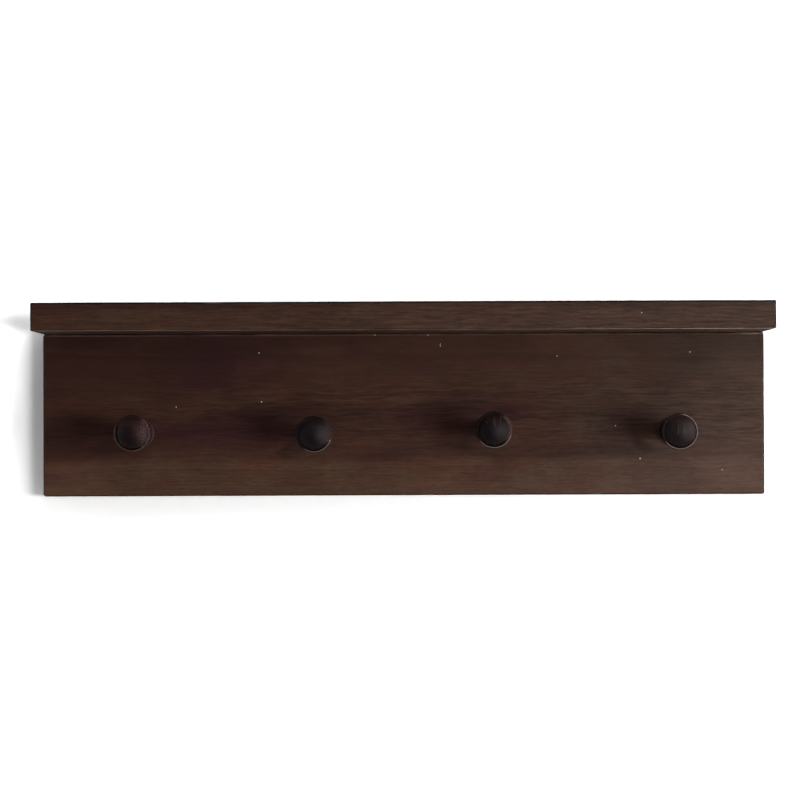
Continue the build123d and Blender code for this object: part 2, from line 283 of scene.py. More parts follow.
def turned(profile, segments):
    """A closed surface of revolution about +Z, from (radius, height) pairs that start and end on the axis.

    Each inner pair becomes a ring of points at even angles, and each end pair becomes one pole.
    """
    profile = np.asarray(profile)
    rings, angle = len(profile) - 2, np.linspace(0, 2 * np.pi, segments, endpoint=False)
    radius, height = profile[1:-1, 0, None], profile[1:-1, 1, None]
    ring = np.stack([radius * np.cos(angle), radius * np.sin(angle), height + 0 * angle], axis=-1)
    poles = [[0, 0, profile[0, 1]], [0, 0, profile[-1, 1]]]
    points = np.concatenate([ring.reshape(-1, 3), poles])
    here = np.arange(segments)
    there = np.roll(here, -1)
    low = np.arange(rings - 1)[:, None] * segments
    sides = np.stack([low + here, low + there, low + there + segments, low + here + segments], axis=-1)
    top = (rings - 1) * segments
    foot = np.stack([there, here, np.full(segments, len(points) - 2)], axis=-1)
    top_shade = np.stack([top + here, top + there, np.full(segments, len(points) - 1)], axis=-1)
    return points, sides.reshape(-1, 4).tolist() + foot.tolist() + top_shade.tolist()


def stadium(length, width, near, far, steps=24):
    """A bar with round ends, long in Z, from y = near to y = far: one outline at each depth, joined by quads."""
    angle = np.linspace(0, np.pi, steps)
    straight = (length - width) / 2
    upper = np.stack([width / 2 * np.cos(angle), straight + width / 2 * np.sin(angle)], axis=1)
    outline = np.concatenate([upper, -upper])
    count = len(outline)
    front = np.stack([outline[:, 0], np.full(count, far), outline[:, 1]], axis=1)
    back = front + np.array([0, near - far, 0])
    here, there = np.arange(count), np.roll(np.arange(count), -1)
    sides = np.stack([here, here + count, there + count, there], axis=1)
    return np.concatenate([front, back]), sides.tolist() + [here.tolist(), (here[::-1] + count).tolist()]


def lay(points, way):
    """Turns what was made along +Z so that it points along Y, out of the front (-1) or the back (1)."""
    return np.stack([points[:, 0], way * points[:, 2], -way * points[:, 1]], axis=1)


def mesh_object(name, points, faces, material=None, sharp=None):
    """An object at the origin that holds the mesh, shaded smooth except over edges sharper than an angle."""
    mesh = bpy.data.meshes.new(name)
    mesh.from_pydata(points.tolist(), [], faces.tolist() if isinstance(faces, np.ndarray) else faces)
    mesh.update()
    thing = bpy.data.objects.new(name, mesh)
    bpy.context.scene.collection.objects.link(thing)
    if material:
        mesh.materials.append(material)
    smooth(mesh, sharp)
    return thing


def smooth(mesh, sharp):
    """Shades a mesh smooth, but for edges that turn by more than the angle in degrees."""
    mesh.polygons.foreach_set("use_smooth", [True] * len(mesh.polygons))
    if sharp:
        mesh.set_sharp_from_angle(angle=np.radians(sharp))
    mesh.update()


def cut(thing, cutters, sharp):
    """Takes closed shapes, given as points and faces, out of a piece, and leaves no modifier on it."""
    group = bpy.data.collections.new("cutters")
    bpy.context.scene.collection.children.link(group)
    for points, faces in cutters:
        cutter = mesh_object("cutter", points, faces)
        bpy.context.scene.collection.objects.unlink(cutter)
        group.objects.link(cutter)
        shape = bmesh.new()
        shape.from_mesh(cutter.data)
        bmesh.ops.recalc_face_normals(shape, faces=shape.faces)
        shape.to_mesh(cutter.data)
        shape.free()
    boolean = thing.modifiers.new("cut", "BOOLEAN")
    boolean.operation, boolean.operand_type, boolean.collection = "DIFFERENCE", "COLLECTION", group
    boolean.solver = "EXACT"
    solid = thing.evaluated_get(bpy.context.evaluated_depsgraph_get())
    mesh = bpy.data.meshes.new_from_object(solid)
    thing.modifiers.clear()
    thing.data = mesh
    mesh.name = thing.name
    for cutter in list(group.objects):
        bpy.data.objects.remove(cutter)
    bpy.data.collections.remove(group)
    smooth(mesh, sharp)


def middle(node):
    """The middle of a CAD node's box."""
    low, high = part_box(node)
    return (low + high) / 2


def spot(node, y):
    """The middle of a CAD node's box in X and Z, at the given y."""
    return np.array([middle(node).x, y, middle(node).z])


def corners(node):
    """The lowest and the highest corner of a CAD node's box."""
    return [np.array(corner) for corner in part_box(node)]


# ---- materials


class Term:
    """One output of a node tree. Arithmetic on it adds Math nodes, so it stands for a number per point."""

    def __init__(self, graph, socket):
        self.graph, self.socket = graph, socket

    def __add__(self, other):
        return self.graph.math("ADD", self, other)

    def __sub__(self, other):
        return self.graph.math("SUBTRACT", self, other)

    def __rsub__(self, other):
        return self.graph.math("SUBTRACT", other, self)

    def __mul__(self, other):
        return self.graph.math("MULTIPLY", self, other)

    def __truediv__(self, other):
        return self.graph.math("DIVIDE", self, other)

    def __pow__(self, other):
        return self.graph.math("POWER", self, other)

    def __abs__(self):
        return self.graph.math("ABSOLUTE", self)

    def __mod__(self, other):
        return self.graph.math("FLOORED_MODULO", self, other)

    __radd__, __rmul__ = __add__, __mul__


class Graph:
    """The node tree of a material or the world, filled by expressions."""

    def __init__(self, owner):
        owner.use_nodes = True
        self.owner, self.tree = owner, owner.node_tree
        self.tree.nodes.clear()

    def node(self, kind, inputs, output=0, **settings):
        """Adds a node. Its settings are set first, then its sockets, each to a value or a link."""
        node = self.tree.nodes.new(kind)
        for key, value in settings.items():
            setattr(node, key, value)
        for key, value in inputs.items():
            if isinstance(value, Term):
                self.tree.links.new(value.socket, node.inputs[key])
            else:
                node.inputs[key].default_value = value
        return Term(self, node.outputs[output]) if len(node.outputs) else node

    def math(self, operation, *values):
        """A Math node on numbers per point."""
        return self.node("ShaderNodeMath", dict(enumerate(values)), operation=operation)

    def least(self, a, b):
        """The smaller of two numbers."""
        return self.math("MINIMUM", a, b)

    def most(self, a, b):
        """The larger of two numbers."""
        return self.math("MAXIMUM", a, b)

    def vector(self, operation, *values, output=0):
        """A Vector Math node, whose second output is a number."""
        return self.node("ShaderNodeVectorMath", dict(enumerate(values)), output=output, operation=operation)

    def place(self):
        """The point in the part's frame, in millimetres."""
        coordinates = self.node("ShaderNodeTexCoord", {}, output="Object")
        return self.vector("MULTIPLY", coordinates, (1000, 1000, 1000))

    def split(self, vector):
        """The X, Y and Z of a vector."""
        parts = self.node("ShaderNodeSeparateXYZ", {0: vector}).socket.node.outputs
        return [Term(self, part) for part in parts]

    def join(self, x, y, z):
        """The vector of three numbers."""
        return self.node("ShaderNodeCombineXYZ", {0: x, 1: y, 2: z})

    def noise(self, vector, stretch=(1, 1, 1), shift=(0, 0, 0), detail=2.0, roughness=0.5):
        """Noise of about 0.3 to 0.7 whose features are one unit long, after the vector is multiplied and moved."""
        at = self.vector("MULTIPLY_ADD", vector, stretch, shift)
        inputs = {"Vector": at, "Scale": 1.0, "Detail": detail, "Roughness": roughness}
        return self.node("ShaderNodeTexNoise", inputs, noise_dimensions="3D")

    def noise_along(self, number, detail=2.0, roughness=0.5):
        """Noise of about 0.3 to 0.7 that varies with one number alone."""
        inputs = {"W": number, "Scale": 1.0, "Detail": detail, "Roughness": roughness}
        return self.node("ShaderNodeTexNoise", inputs, noise_dimensions="1D")

    def rise(self, value, low, high, start=0.0, end=1.0):
        """Goes smoothly from the start to the end while the value goes from low to high."""
        inputs = {"Value": value, "From Min": low, "From Max": high, "To Min": start, "To Max": end}
        return self.node("ShaderNodeMapRange", inputs, interpolation_type="SMOOTHSTEP")

    def through(self, value, places):
        """Goes smoothly through (value, number) pairs."""
        number = places[0][1]
        for (start, before), (end, after) in zip(places, places[1:]):
            number = self.rise(value, start, end, 0.0, after - before) + number
        return number

    def mix(self, factor, a, b):
        """Colour a where the factor is 0, and colour b where it is 1."""
        return self.node("ShaderNodeMix", {0: factor, 6: a, 7: b}, output=2, data_type="RGBA")

    def tint(self, colour, number):
        """A colour times a number."""
        colour = colour if isinstance(colour, Term) else colour[:3]
        return self.node("ShaderNodeVectorMath", {0: colour, 3: number}, operation="SCALE")

    def seen(self):
        """1 for rays from the camera, and for those by way of gloss or glass."""
        path = self.node("ShaderNodeLightPath", {}).socket.node.outputs
        camera, gloss, glass = (Term(self, path[f"Is {kind} Ray"]) for kind in ("Camera", "Glossy", "Transmission"))
        return self.least(camera + gloss + glass, 1.0)

    def finish(self, colour, roughness, height, distance, strength, more):
        """The material of a colour, a roughness, a bump whose height of 1 is the distance in metres, and more."""
        normal = self.node("ShaderNodeBump", {"Height": height, "Distance": distance, "Strength": strength})
        inputs = {"Base Color": colour, "Roughness": roughness, "Normal": normal, **more}
        return self.surface(self.node("ShaderNodeBsdfPrincipled", inputs))

    def surface(self, shader):
        """Puts the shader on the surface, and gives back the material or the world."""
        kind = "ShaderNodeOutputWorld" if isinstance(self.owner, bpy.types.World) else "ShaderNodeOutputMaterial"
        self.node(kind, {"Surface": shader})
        return self.owner


def rgba(colour, by=1.0):
    """A colour property as a socket's four numbers, times a number."""
    return (*(c * by for c in colour[:3]), 1.0)


def arris_distance(g, at, low, high):
    """How far a point of a board's surface is from its nearest arris, in mm.

    The distances to the board's three pairs of faces are sorted. The least is 0 on a face, so the middle one is
    the distance to the arris.
    """
    centre, half = (low + high) / 2 / MM, (high - low) / 2 / MM
    offset = g.vector("ABSOLUTE", g.vector("SUBTRACT", at, tuple(centre)))
    x, y, z = g.split(g.vector("SUBTRACT", tuple(half), offset))
    return g.most(g.least(x, y), g.least(g.most(x, y), z))


def fleck_mask(g, x, z, flecks):
    """1 within a small radius of each listed place on the front, fading at its rim."""
    mask = 0.0
    for fleck_x, fleck_z, radius in flecks:
        away = g.vector("DISTANCE", g.join(x, 0.0, z), (fleck_x, 0.0, fleck_z), output=1)
        mask = g.most(mask, g.rise(away, radius, radius * 0.5))
    return mask


def board_finish(name, node, look, marks):
    """Stained wood with its grain along X, under a thin dull coat.

    Growth rings are distances from a pith line that runs along X outside the board, drawn out of true by slow
    noise. On them lie short fibres and soft dark pores, both noise that is stretched along X, which come out more
    towards the bottom and the right, and dashes, most about one height. Slow noise changes the stain's depth and
    hue, and so do the bands by height and the blotches, whose outlines waver with the grain; on the rail some
    blotches are painted shadows of the pegs, painted shade at the top left and painted light at the right end.
    The stain is drawn paler and greyer towards the right as a painted sheen. It has gathered along the arrises.
    A painted highlight runs along a line on the front, and the front's top edge can be drawn dark as painted
    shade. The underside is drawn lighter towards the right as painted light. It took darker on the ends, and
    hardly at all in patches of the back.
    """
    g = Graph(bpy.data.materials.new(name))
    low, high = corners(node)
    (left, front, foot), (_, rear, top) = low / MM, high / MM
    at = g.place()
    x, y, z = g.split(at)
    seed, waver = marks["seed"], marks["waver"]
    shift = (seed * 17.3, seed * 5.1, seed * 9.7)

    drift = g.noise(at, (0.0045, 0.012, 0.012), shift, detail=2) - 0.5
    wander = g.noise(at, (0.02, 0.06, 0.06), shift, detail=2) - 0.5
    across, up = y - marks["pith"][0], z - marks["pith"][1]
    ring = (across * across + up * up) ** 0.5 + drift * 26 + wander * 4.5
    tone = g.noise_along(ring * 0.11 + seed, detail=3, roughness=0.6) - 0.5
    phase = (ring / 2.7 + g.noise_along(ring * 0.05, detail=1) * 5) % 1.0
    latewood = g.rise(phase, 0.3, 0.93) * g.rise(phase, 1.0, 0.94)

    clear = g.rise(x * 0.12 - z, -40, 55, *marks["clear"])
    bent = g.join(x, y, z + wander * 6)
    fibre = g.noise(bent, (0.19, 1.1, 1.1), shift, detail=3, roughness=0.6) - 0.5
    silk = g.noise(bent, (0.06, 0.42, 0.42), shift, detail=3, roughness=0.55) - 0.5
    dash = g.noise(bent, (0.065, 0.92, 0.92), (seed * 4.1, seed * 6.3, seed), detail=1)
    pore_field = g.noise(bent, (0.17, 1.7, 1.7), shift, detail=1.5)
    crowd = g.noise(at, (0.012, 0.05, 0.05), shift, detail=2)
    pore = g.rise(pore_field, 0.60, 0.74) * g.rise(crowd + latewood * 0.12, 0.42, 0.62, 0.1, 1.0) * clear

    depth = 0.76 + (tone * 0.3 + fibre * 0.85 + silk * 0.5 - (latewood - 0.5) * 0.12) * clear + tone * 0.15
    lively = g.rise(abs(z - marks["busy"]), 34, 10, 0.03, 0.29) * g.rise(x, -230, 20, 0.55, 1.0)
    depth = depth + (g.rise(dash, 0.36, 0.64) - 0.5) * lively
    cloud = g.noise(at, (0.012, 0.02, 0.022), shift, detail=3, roughness=0.55)
    depth = depth * g.rise(cloud, 0.25, 0.75, 0.82, 1.18)
    hue = g.noise(at, (0.024, 0.05, 0.05), (seed * 3.1, seed * 8.3, seed), detail=3, roughness=0.55)
    blush = g.noise(at, (0.02, 0.045, 0.06), (seed * 7.7, seed * 2.3, seed), detail=2)
    brown = g.rise(hue, 0.36, 0.64, -0.3, 0.6) + marks["lean"] + g.rise(z, foot + 5, foot + 1) * 0.5
    brown = brown + (g.noise(at, (0.1, 0.28, 0.28), shift, detail=2) - 0.5) * 1.1
    plum = g.rise(blush, 0.46, 0.34, 0.0, 0.45)
    for height, width, strength in marks["bands"]:
        inside = g.rise(abs(z - height + (drift * 12 + wander * 5) * waver), width, width * 0.55)
        depth, brown = depth * (1 + inside * strength), brown + inside * strength * 1.4
    # Some of these blotches are painted peg shadows, and painted light and shade along the rail
    for middle_x, middle_z, length, width, strength, purple in marks["blotches"]:
        along = (x - middle_x + drift * 90 + wander * 40) / length
        over = (z - middle_z + (drift * 14 + wander * 12 + silk * 6) * waver) / width
        inside = g.rise(along * along + over * over, 1.5, 0.1)
        depth, brown, plum = depth * (1 + inside * strength), brown + inside * strength, plum + inside * purple

    stain = g.mix(g.most(g.least(brown, 1.0), 0.0), rgba(look.stain_red), rgba(look.stain_brown))
    stain = g.mix(g.least(plum, 1.0), stain, rgba(look.stain_plum))
    # Paler, greyer stain from one x to another: a painted sheen of the light from the right
    sheen_start, sheen_end, sheen_ramp = marks["sheen_ramp"]
    sheened = g.rise(x - z * 0.6 + (hue - 0.5) * 160, sheen_start, sheen_end) * sheen_ramp
    stain = g.mix(sheened, stain, rgba(look.stain_sheened))
    colour = g.mix(pore * 0.6, g.tint(stain, depth), rgba(look.pore))

    near = arris_distance(g, at, low, high)
    patch = g.noise(at, (0.05, 0.35, 0.35), shift, detail=3, roughness=0.7)
    gather = g.rise(near, 1.3, 0.5) * g.rise(patch, 0.30, 0.55, 0.45, 0.75) * g.rise(y, -3.0, -6.0, 0.3, 1.0)
    colour = g.mix(gather, colour, g.tint(colour, 0.2))
    # Painted shade: the front's top edge drawn darker, by the board's strength
    line = g.rise(z, top - 1.6, top - 0.8) * g.rise(y, front + 2.0, front + 0.8)
    colour = g.mix(line * marks["crest_shade"], colour, g.tint(colour, 0.1))
    # Painted light: the underside drawn lighter towards the right, and a little darker at the left
    under = g.rise(z, foot + 0.5, foot + 0.1) * g.rise(y, front + 0.6, front + 2.0)
    colour = g.mix(under, colour, g.tint(colour, g.rise(x, -80, 180, 0.95, 1.7)))
    rub = g.rise(near, 1.6, 0.2) * g.rise(patch, 0.58, 0.70) * look.rub
    # A painted highlight along a line on the front arris, near white towards the right end
    height, reach, strengths = marks["wear"]
    glinting = g.rise(abs(z - height), reach, reach * 0.5) * g.rise(y, front + 2.2, front + 1.4)
    glinting = glinting * g.rise(patch, 0.32, 0.58, 0.35, 1.0) * g.through(x, strengths)
    pale = g.mix(g.rise(x, 60, 250) * glinting, rgba(look.rubbed), rgba(look.shining))
    colour = g.mix(g.least(rub + glinting, 1.0), colour, pale)
    fleck = fleck_mask(g, x, z, FLECKS) * g.rise(y, front + 1.2, front + 0.8)
    colour = g.mix(fleck, colour, FLECK)

    end = g.rise(abs(x), -left - 0.9, -left - 0.3)
    colour = g.mix(end, colour, g.tint(colour, 0.5 + fibre * 0.6))
    back = g.rise(y, rear - 0.5, rear - 0.2)
    wash = g.noise(at, (0.02, 0.05, 0.05), shift, detail=4, roughness=0.6)
    colour = g.mix(back * g.rise(wash, 0.3, 0.6, 0.35, 0.8), colour, g.mix(0.5, rgba(look.bare), colour))

    coarse = 0.50 + silk * 0.25 + pore * 0.25 + end * 0.2 + back * 0.15 + (patch - 0.5) * 0.1 + under * 0.4
    relief = fibre * 0.35 - pore * 0.9 - latewood * 0.12 + silk * 0.3
    return g.finish(colour, coarse, relief, 0.1 * MM, 0.6, {"Specular IOR Level": 0.05})


def facing(x, z, radius, degrees):
    """The cosine between the way from a turned piece's axis to a point and a direction in degrees from +X."""
    return (x * np.cos(np.radians(degrees)) + z * np.sin(np.radians(degrees))) / radius


def peg_finish(name, node, look, seed, marks):
    """Near-black stain on a turned peg whose grain runs along its axis.

    The dome shows the ends of the growth rings as arcs about a pith beside the peg. Turning left fine rings round
    the axis. A painted sheen lies on the right of the dome, mottled there as painted highlight, and short pale
    streaks run up it, drawn as painted glints. The stain lies thick round the dome's foot. The rim's top and the
    groove inside the rim, but for its top, are drawn darker as painted shade, and the dome's top is drawn lighter as
    painted light. A painted glint runs along part of the rim, and the rim's right side and the shoulder are drawn
    paler as painted highlight.
    """
    g = Graph(bpy.data.materials.new(name))
    centre = middle(node) / MM
    at = g.vector("SUBTRACT", g.place(), (centre.x, 0, centre.z))
    x, y, z = g.split(at)
    shift = (seed * 13.7, seed * 4.3, seed * 7.9)
    radius = g.most((x * x + z * z) ** 0.5, 1.0)
    head = g.rise(y, HEAD_BACK, HEAD_FRONT)

    grain = g.noise(at, (0.9, 0.06, 0.9), shift, detail=3, roughness=0.6)
    pith_x, pith_z = x - 31 * np.cos(seed * 1.9), z - 31 * np.sin(seed * 1.9)
    ring = ((pith_x * pith_x + pith_z * pith_z) ** 0.5 + grain * 1.4) / 1.35
    growth = g.rise(ring % 1.0, 0.35, 0.95) * g.rise(ring % 1.0, 1.0, 0.95)
    speck = g.rise(g.noise(at, (2.6, 0.12, 2.6), shift, detail=2), 0.56, 0.72)
    patch = g.noise(at, (0.25, 0.25, 0.25), shift, detail=3, roughness=0.65)

    depth = 0.7 + grain * 0.6 - growth * 0.2 - speck * 0.2
    stain = tuple(np.array(look.stain) * marks["stain"])
    sheen = tuple(np.array(look.bloom) * marks["sheen"])
    colour = g.tint(stain, depth)
    # The bloom mask is a painted sheen on the right of the dome, about the given place
    off_x, off_z = x - marks["sheen_at"][0], z - marks["sheen_at"][1]
    bloom = g.rise((off_x * off_x + off_z * off_z * 0.55) ** 0.5 + (patch - 0.5) * 5, 10.5, 0.0) * head
    bloom = bloom * g.rise(radius, 11.6, 10.4)
    colour = g.mix(bloom, colour, rgba(sheen, 1.1))
    # Pale streaks up the dome: scored lines drawn lighter as painted glints
    low, high, strength = marks["scratch_glints"]
    ragged = g.noise_along(x * 0.8 + seed * 9, detail=1) * 8 - 4
    line = g.noise(g.join(x, 0.0, z), (1.05, 1, 0.05), (seed * 6.1, 0, 0), detail=2, roughness=0.6)
    scratch_glint = g.rise(line, 0.49, 0.60) * g.rise(z + ragged, low - 1, low + 1) * g.rise(z + ragged, high + 1, high - 1)
    scratch_glint = scratch_glint * g.rise(abs(x - 1.0), 7.5, 4.5) * strength * head
    colour = g.mix(scratch_glint * 0.75, colour, rgba(sheen, 1.6))

    foot = g.rise(z, -3.5, -8.5) * g.rise(radius, 6.0, 10.0) * head
    colour = g.mix(foot * 0.8, colour, rgba(look.foot))
    # Painted light: the dome's top above a height drawn lighter
    lit_top_foot, lit_top = marks["lit_top"]
    upper = g.rise(z + (patch - 0.5) * 4, lit_top_foot - 2.5, lit_top_foot + 2.5) * g.rise(radius, 12.0, 11.4) * head
    lit_top = tuple(np.array(look.foot) * lit_top)
    colour = g.mix(upper * (1 - scratch_glint * 0.8) * 0.85, colour, g.tint(lit_top, 0.5 + grain))
    # Painted shade: the top of the rim drawn darker
    top_shade = g.rise(radius, 11.5, 12.1) * g.rise(z / radius, 0.2, 0.75) * head
    colour = g.mix(top_shade * marks["cap"] * 0.9, colour, g.tint(stain, 0.2))
    # Painted shade in the groove between the dome and the rim, but for its top
    groove = g.rise(abs(radius - 10.9), 0.6, 0.2) * g.rise(z / radius, 0.7, 0.2) * head
    colour = g.mix(groove * 0.35, colour, g.tint(stain, 0.4))

    # Painted highlight: the rim's right side, and the shoulder all round, drawn paler
    lit_crescent = g.rise(abs(radius - 11.3), 1.5, 0.6) * g.rise(facing(x, z, radius, 8), 0.55, 0.98) * head
    shoulder = g.rise(radius, 8.6, 9.6) * g.rise(y, -25, -21.5) * 0.7
    rub = g.least(lit_crescent * marks["side"] * 1.6 + shoulder, 1.0) * look.rub
    colour = g.mix(rub, colour, rgba(look.rubbed))
    # Painted highlight: mottled paler colour on the right of the dome
    blot = g.noise(at, (0.8, 0.3, 0.8), shift, detail=3, roughness=0.75)
    mottled_sheen = g.rise(x + (patch - 0.5) * 6, 3.0, 9.5) * g.rise(blot, 0.44, 0.58, 0.2, 1.0) * marks["mottled_sheen"]
    colour = g.mix(mottled_sheen * 0.6, colour, rgba(look.rubbed, 0.8))
    # Painted glint: a pale line along part of the rim, facing one direction
    worn_radius, direction, half, strength = marks["rim"]
    along = g.rise(facing(x, z, radius, direction), np.cos(np.radians(half + 9)), np.cos(np.radians(half - 9)))
    rim = g.rise(abs(radius - worn_radius), 0.45, 0.1) * g.rise(y, RIM_BACK, RIM_FRONT) * along
    rim = rim * g.rise(patch, 0.30, 0.50, 0.55, 1.0) * strength
    colour = g.mix(rim, colour, rgba(look.glinting))
    # A painted glint spot on the rim
    colour = g.mix(fleck_mask(g, x, z, marks["glint_spots"]) * head, colour, GLINT_SPOT)

    tool = g.noise_along(y * 1.4 + radius * 0.9, detail=3, roughness=0.7)
    coarse = 0.50 + (patch - 0.5) * 0.2 + speck * 0.15 - bloom * 0.1
    relief = tool * 0.6 - speck * 0.3 - growth * 0.15 + grain * 0.3 + mottled_sheen * 0.4
    return g.finish(colour, coarse, relief, 0.08 * MM, 0.8, {"Specular IOR Level": 0.03})


def plug_finish(name, node, look, seed):
    """A stained plug with its grain nearly in line with the shelf's, and a dark line of glue round it."""
    g = Graph(bpy.data.materials.new(name))
    centre = middle(node) / MM
    turn = np.radians(PLUG_TURNS[seed])
    at = g.vector("SUBTRACT", g.place(), (centre.x, centre.y, 0))
    x, y, z = g.split(at)
    along = x * np.cos(turn) + y * np.sin(turn)
    across = y * np.cos(turn) - x * np.sin(turn)
    shift = (seed * 7.7, seed * 3.9, seed * 2.3)
    lie = g.join(along, across, z)
    fibre = g.noise(lie, (0.06, 1.4, 1.4), shift, detail=4, roughness=0.62)
    pore = g.rise(g.noise(lie, (0.2, 2.2, 2.2), shift, detail=1.5), 0.60, 0.70)
    radius = (x * x + y * y) ** 0.5
    glue = g.rise(radius, 4.35, 4.65)
    stain = g.mix(fibre, rgba(look.stain_red), rgba(look.stain_brown))
    colour = g.tint(stain, 0.6 + fibre * 1.1)
    colour = g.mix(pore * 0.7, colour, rgba(look.pore))
    colour = g.mix(glue * 0.9, colour, rgba(look.pore, 0.4))
    coarse = 0.42 + pore * 0.25 + glue * 0.2
    return g.finish(colour, coarse, fibre * 0.4 - pore * 0.8, 0.1 * MM, 0.7, {"Specular IOR Level": 0.05})


def steel_finish(name, look):
    """Dull zinc plating: a fine crystal bloom with faint rolling lines along Z, and grime in places."""
    g = Graph(bpy.data.materials.new(name))
    at = g.place()
    bloom = g.noise(at, (0.9, 0.9, 0.9), detail=4, roughness=0.65)
    lines = g.noise(at, (5, 5, 0.12), detail=3, roughness=0.6)
    grime = g.rise(g.noise(at, (0.16, 0.16, 0.16), (3, 1, 4), detail=4, roughness=0.7), 0.5, 0.72)
    colour = g.tint(rgba(look.zinc), 0.7 + bloom * 0.35 + lines * 0.15)
    colour = g.mix(grime * 0.55, colour, rgba(look.zinc, 0.32))
    coarse = 0.28 + bloom * 0.2 + lines * 0.1 + grime * 0.25
    return g.finish(colour, coarse, lines * 0.5 + bloom * 0.5, 0.03 * MM, 0.6, {"Metallic": 1.0 - grime * 0.35})


def backdrop_finish(name, look):
    """Pale plaster that keeps a shadow, shows white to the camera, and is clear from behind.

    It is drawn palest above the shelf, below the rail and out to the left, as painted light over the shadows that
    fall there, and away from the part it shows plain white.
    """
    g = Graph(bpy.data.materials.new(name))
    seen = g.seen()
    x, _, z = g.split(g.place())
    # Painted light: the wall drawn paler above the shelf, below the rail and left of the shelf, where shadows fall
    above = g.rise(z, 25, 75, 0.0, 0.6) + g.rise(z, 54, 66, 0.0, 1.6)
    below = g.rise(z, -60, -85, 0.0, 0.2)
    aside = g.rise(x, -274, -286, 0.0, 0.4)
    shown = g.tint(rgba(look.wall), look.wall_lift + above + below + aside)
    lit = g.node("ShaderNodeBsdfDiffuse", {"Color": g.mix(seen, rgba(look.wall), shown)})
    white = g.node("ShaderNodeEmission", {"Color": WHITE, "Strength": 1.0})
    away = g.most(g.rise(abs(x), 330, 700), g.rise(abs(z), 250, 700))
    front = g.node("ShaderNodeMixShader", {0: seen * away, 1: lit, 2: white})
    behind = g.node("ShaderNodeNewGeometry", {}, output="Backfacing")
    clear = g.node("ShaderNodeBsdfTransparent", {})
    return g.surface(g.node("ShaderNodeMixShader", {0: behind, 1: front, 2: clear}))


def dress(node, finish):
    """Gives a CAD node one material."""
    mesh = frame["nodes"][node].data
    mesh.materials.clear()
    mesh.materials.append(finish)


# ---- settings


def colour_setting(name, description, default):
    """The setting of a colour."""
    return FloatVectorProperty(name=name, description=description, default=default, min=0, max=1, subtype="COLOR")


def length_setting(name, description, default, least):
    """The setting of a length."""
    return FloatProperty(
        name=name, description=description, default=default, min=least, unit="LENGTH", subtype="DISTANCE"
    )


class BoardLook(PropertyGroup):
    """Sizes and colours of the rail and the shelf."""

    rail_ease: length_setting("Rail arris", "Radius on the rail's arrises", 1.7 * MM, 0.0003)
    shelf_ease: length_setting("Shelf arris", "Radius on the shelf's arrises", 0.9 * MM, 0.0003)
    wear: length_setting("Arris wear", "Most wood that is lost from an arris", 0.28 * MM, 0)
    stain_red: colour_setting("Red stain", "Stain where it looks redder", (0.0535, 0.0215, 0.0136))
    stain_brown: colour_setting("Brown stain", "Stain where it looks browner", (0.0530, 0.0282, 0.0172))
    # On the rail this plum also tints the painted peg shadows
    stain_plum: colour_setting("Plum stain", "Stain where it looks purple", (0.0450, 0.0160, 0.0148))
    # Paler, greyer stain towards the right, drawn as a painted sheen
    stain_sheened: colour_setting("Faded stain", "Stain where it has faded", (0.0600, 0.0355, 0.0262))
    pore: colour_setting("Pores", "Colour in the open pores", (0.016, 0.008, 0.006))
    # Also the colour of the painted highlight line along the front, away from its right end
    rubbed: colour_setting("Rubbed arris", "Colour where the stain is rubbed thin", (0.20, 0.12, 0.09))
    # The near-white painted highlight at the right end of the line along the front
    shining: colour_setting("Scuffed arris", "Colour where the stain is scuffed off at the right", (0.36, 0.29, 0.25))
    bare: colour_setting("Bare wood", "Wood that was hardly stained, at the back", (0.26, 0.16, 0.09))
    rub: FloatProperty(
        name="Rubbing", description="How much the arrises are rubbed", default=0.5, min=0, max=1, subtype="FACTOR",
    )


class PegLook(PropertyGroup):
    """Sizes and colours of the turned pegs."""

    tenon: length_setting("Tenon", "Diameter of the tenon in its bore", 12.7 * MM, 0.004)
    shoulder: length_setting("Shoulder", "Diameter of the shoulder on the rail's face", 20 * MM, 0.008)
    neck: length_setting("Neck", "Diameter at the narrowest place", 10.6 * MM, 0.004)
    rim: length_setting("Rim", "Diameter of the head's beaded rim", 25.2 * MM, 0.01)
    dome: length_setting("Dome rise", "Height of the dome in front of the rim", 6.8 * MM, 0.001)
    stain: colour_setting("Peg stain", "Stain of the pegs", (0.0060, 0.0034, 0.0036))
    # The colour of the painted sheen on the right of the domes
    bloom: colour_setting("Wax bloom", "Colour of the wax on the domes", (0.031, 0.0175, 0.0168))
    foot: colour_setting("Dome foot", "Stain round the foot of the domes", (0.0085, 0.0036, 0.0030))
    # The colour of the painted glint along part of each rim
    glinting: colour_setting("Worn rim", "Bare wood where a rim is worn through", (0.165, 0.125, 0.107))
    # The colour of the pegs' painted highlights: the rim's right side, the shoulder and the mottling on the dome
    rubbed: colour_setting("Rubbed peg", "Colour where a peg is rubbed", (0.115, 0.066, 0.064))
    # How strong the pegs' painted highlights on the rim's right side and on the shoulder are
    rub: FloatProperty(
        name="Peg rubbing", description="How much the pegs' edges are rubbed", default=0.45, min=0, max=1,
        subtype="FACTOR",
    )


class StageLook(PropertyGroup):
    """Colours and lamps of the stage."""

    zinc: colour_setting("Zinc", "Colour of the plated steel", (0.55, 0.55, 0.53))
    wall: colour_setting("Wall", "Colour of the wall and the floor", (0.8, 0.8, 0.8))
    wall_lift: FloatProperty(
        name="Wall lift", description="How much paler the camera sees the wall", default=1.42, min=1,
    )
    power: FloatVectorProperty(
        name="Lamps", description="Power of the key, low, left, top, side and rear lamps", size=6,
        default=(21.5, 1.3, 1.2, 12.5, 3.7, 30), min=0, unit="POWER",
    )
    room: FloatProperty(name="Room light", description="Strength of the light all round", default=0.03, min=0)


# ---- outlines and cuts


